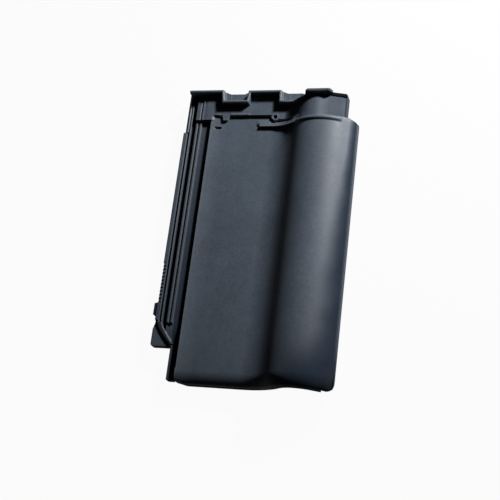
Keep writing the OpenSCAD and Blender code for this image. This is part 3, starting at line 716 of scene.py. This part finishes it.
engobe = bpy.data.materials.new("slate_engobe")
engobe.use_nodes = True
nodes, links = engobe.node_tree.nodes, engobe.node_tree.links
shader = nodes["Principled BSDF"]
shader.inputs["Specular IOR Level"].default_value = 0.42
where = nodes.new("ShaderNodeTexCoord")
place = nodes.new("ShaderNodeVectorMath")
place.operation = "SCALE"
place.inputs["Scale"].default_value = 1000
links.new(where.outputs["Object"], place.inputs[0])
edge = nodes.new("ShaderNodeAttribute")
edge.attribute_name = "stands_out"
colouring, surface, shade_node = (nodes.new("ShaderNodeGroup") for _ in range(3))
colouring.node_tree, surface.node_tree, shade_node.node_tree = tone, skin, shade_tree
colouring.inputs["Engobe"].default_value = (0.048, 0.061, 0.080, 1)
colouring.inputs["Thin"].default_value = (0.078, 0.085, 0.095, 1)
# Near black blue, laid as painted shade where the painted shade mask lies.
colouring.inputs["Painted Shade Color"].default_value = (0.001, 0.007, 0.018, 1)
links.new(place.outputs[0], shade_node.inputs["Place"])
for group in (colouring, surface):
    links.new(shade_node.outputs["Painted Shade"], group.inputs["Painted Shade"])
    links.new(place.outputs[0], group.inputs["Place"])
    links.new(edge.outputs["Fac"], group.inputs["Stands Out"])
bump = nodes.new("ShaderNodeBump")
bump.inputs["Strength"].default_value = 0.5
bump.inputs["Distance"].default_value = 0.0001
links.new(colouring.outputs["Color"], shader.inputs["Base Color"])
links.new(surface.outputs["Roughness"], shader.inputs["Roughness"])
links.new(surface.outputs["Height"], bump.inputs["Height"])
links.new(bump.outputs["Normal"], shader.inputs["Normal"])
mesh.materials.append(engobe)
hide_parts("roof_tile")
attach(tile, "root")

# ---------------------------------------------------------------------------------------------
# Studio
# A white floor that the camera sees almost pure, so that only a faint shadow is left on it, and
# one small lamp low behind the head on the right, which draws the crisp dark shadows.
# ---------------------------------------------------------------------------------------------

FLOOR_WHITE = 0.95
FLOOR_MIRRORED = 0.25

floor_mesh = bpy.data.meshes.new("floor")
floor_mesh.from_pydata([(-6, -6, 0), (6, -6, 0), (6, 6, 0), (-6, 6, 0)], [], [(0, 1, 2, 3)])
floor = bpy.data.objects.new("floor", floor_mesh)
bpy.context.scene.collection.objects.link(floor)
paper = bpy.data.materials.new("paper")
paper.use_nodes = True
nodes, links = paper.node_tree.nodes, paper.node_tree.links
nodes.remove(nodes["Principled BSDF"])
grey = nodes.new("ShaderNodeBsdfDiffuse")
grey.inputs["Color"].default_value = (0.35, 0.35, 0.35, 1)
white = nodes.new("ShaderNodeEmission")
white.inputs["Strength"].default_value = 1.0


def seen_directly(tree):
    """1 for rays from the camera, also through clear pieces, and 0 for all other rays, and the
    node that tells the rays apart."""
    path = tree.nodes.new("ShaderNodeLightPath")
    kinds = path.outputs["Is Camera Ray"], path.outputs["Is Transmission Ray"]
    return combine(tree, "MAXIMUM", *kinds), path


seen, path = seen_directly(paper.node_tree)
mirrored = combine(paper.node_tree, "MULTIPLY", path.outputs["Is Glossy Ray"], FLOOR_MIRRORED)
seen = combine(paper.node_tree, "MAXIMUM", seen, mirrored)
blend = nodes.new("ShaderNodeMixShader")
links.new(combine(paper.node_tree, "MULTIPLY", seen, FLOOR_WHITE), blend.inputs[0])
links.new(grey.outputs[0], blend.inputs[1])
links.new(white.outputs[0], blend.inputs[2])
links.new(blend.outputs[0], nodes["Material Output"].inputs["Surface"])
floor_mesh.materials.append(paper)

# The lamp's and the camera's places are given in the tile's frame, in millimetres.
LAMP = Vector((860, 1210, 615)) + Vector(ORIGIN)
CAMERA = Vector((561.53, -305.99, 1396.9)) + Vector(ORIGIN)

lamp_data = bpy.data.lights.new("key", "AREA")
lamp_data.shape = "DISK"
lamp_data.size = 0.2
lamp_data.energy = 45
lamp = bpy.data.objects.new("key", lamp_data)
lamp.location = LAMP / 1000
lamp.rotation_euler = LAMP.to_track_quat("Z", "Y").to_euler()
bpy.context.scene.collection.objects.link(lamp)

world = bpy.data.worlds.new("studio")
world.use_nodes = True
background = world.node_tree.nodes["Background"]
strength = spread(world.node_tree, seen_directly(world.node_tree)[0], 0, 1, 0.01, 1.0)
world.node_tree.links.new(strength, background.inputs["Strength"])
background.inputs["Color"].default_value = (1, 1, 1, 1)
bpy.context.scene.world = world

camera_data = bpy.data.cameras.new("camera")
camera_data.sensor_width = 36
camera_data.lens = 77.94
camera = bpy.data.objects.new("camera", camera_data)
camera.location = CAMERA / 1000
camera.rotation_euler = Euler(np.radians((20.988, 14.707, 7.109)))
bpy.context.scene.collection.objects.link(camera)
bpy.context.scene.camera = camera
bpy.context.scene.view_settings.view_transform = "Standard"
